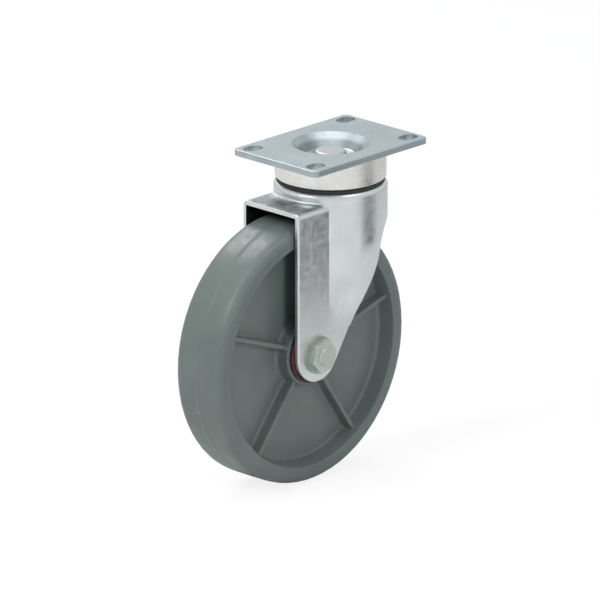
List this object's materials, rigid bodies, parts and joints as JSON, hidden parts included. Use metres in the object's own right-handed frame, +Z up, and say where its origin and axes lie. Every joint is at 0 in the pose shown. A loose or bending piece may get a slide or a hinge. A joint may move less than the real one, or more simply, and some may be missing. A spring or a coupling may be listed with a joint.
{
  "type": "swivel castor",
  "caption": "Swivel plate castor: a slotted mounting plate on a double ball race, a pressed steel fork and a ribbed moulded wheel on a roller bearing.",
  "frame": {"origin": "where the swivel axis meets the top face of the mounting plate", "axes": "+Z up along the swivel axis out of the plate's top face; the axle lies along Y and the wheel trails towards -X; the axle nut is on the -Y side"},
  "size_m": [0.1545, 0.064, 0.188],
  "materials": {
    "plate_zinc": "bright zinc plate with a faint blue cast, satin from the press",
    "cup_zinc": "bright zinc plate, drawn and smoother, faintly warm",
    "fork_zinc": "bright zinc plate on pressed sheet, soft drawing streaks down the legs",
    "bolt_zinc": "zinc plated hexagons and washers",
    "bearing_steel": "hardened and polished bearing steel with a film of grease",
    "seal_rubber": "black moulded rubber, matt",
    "wheel_grey": "moulded solid plastic, mid grey with a green-blue cast, satin",
    "guard_red": "moulded dark red plastic",
    "bushing_steel": "turned and ground steel tube"
  },
  "bodies": {
    "plate": {"top_plate": "plate_zinc", "upper_race_cup": "cup_zinc", "kingpin": "bolt_zinc", "lower_race": "bearing_steel", "kingpin_washer": "bolt_zinc", "kingpin_nut": "bolt_zinc"},
    "upper_ball_ring": {"upper_balls": "bearing_steel"},
    "lower_ball_ring": {"lower_balls": "bearing_steel"},
    "fork": {"fork": "fork_zinc", "dust_seal": "seal_rubber", "spanner_bushing": "bushing_steel", "axle_bolt": "bolt_zinc", "axle_nut": "bolt_zinc", "axle_washer_near": "bolt_zinc", "axle_washer_far": "bolt_zinc", "thrust_washer_near": "bushing_steel", "thrust_washer_far": "bushing_steel"},
    "roller_cage": {"bearing_rollers": "bearing_steel", "bearing_cage": "bushing_steel"},
    "wheel": {"wheel": "wheel_grey", "bearing_sleeve": "bushing_steel", "thread_guard_near": "guard_red", "thread_guard_far": "guard_red"}
  },
  "joints": [
    {"name": "swivel", "type": "hinge", "parent": "plate", "child": "fork", "pos_m": [0, 0, 0], "axis": [0, 0, 1], "continuous": true},
    {"name": "wheel_spin", "type": "hinge", "parent": "fork", "child": "wheel", "pos_m": [-0.0325, 0, -0.112], "axis": [0, 1, 0], "continuous": true},
    {"name": "upper_ball_orbit", "type": "hinge", "parent": "plate", "child": "upper_ball_ring", "pos_m": [0, 0, 0], "axis": [0, 0, 1], "continuous": true},
    {"name": "lower_ball_orbit", "type": "hinge", "parent": "plate", "child": "lower_ball_ring", "pos_m": [0, 0, 0], "axis": [0, 0, 1], "continuous": true},
    {"name": "roller_orbit", "type": "hinge", "parent": "fork", "child": "roller_cage", "pos_m": [-0.0325, 0, -0.112], "axis": [0, 1, 0], "continuous": true}
  ],
  "couplings": [
    {"joint": "upper_ball_orbit", "follows": "swivel", "ratio": 0.5},
    {"joint": "lower_ball_orbit", "follows": "swivel", "ratio": 0.5},
    {"joint": "roller_orbit", "follows": "wheel_spin", "ratio": 0.6}
  ]
}
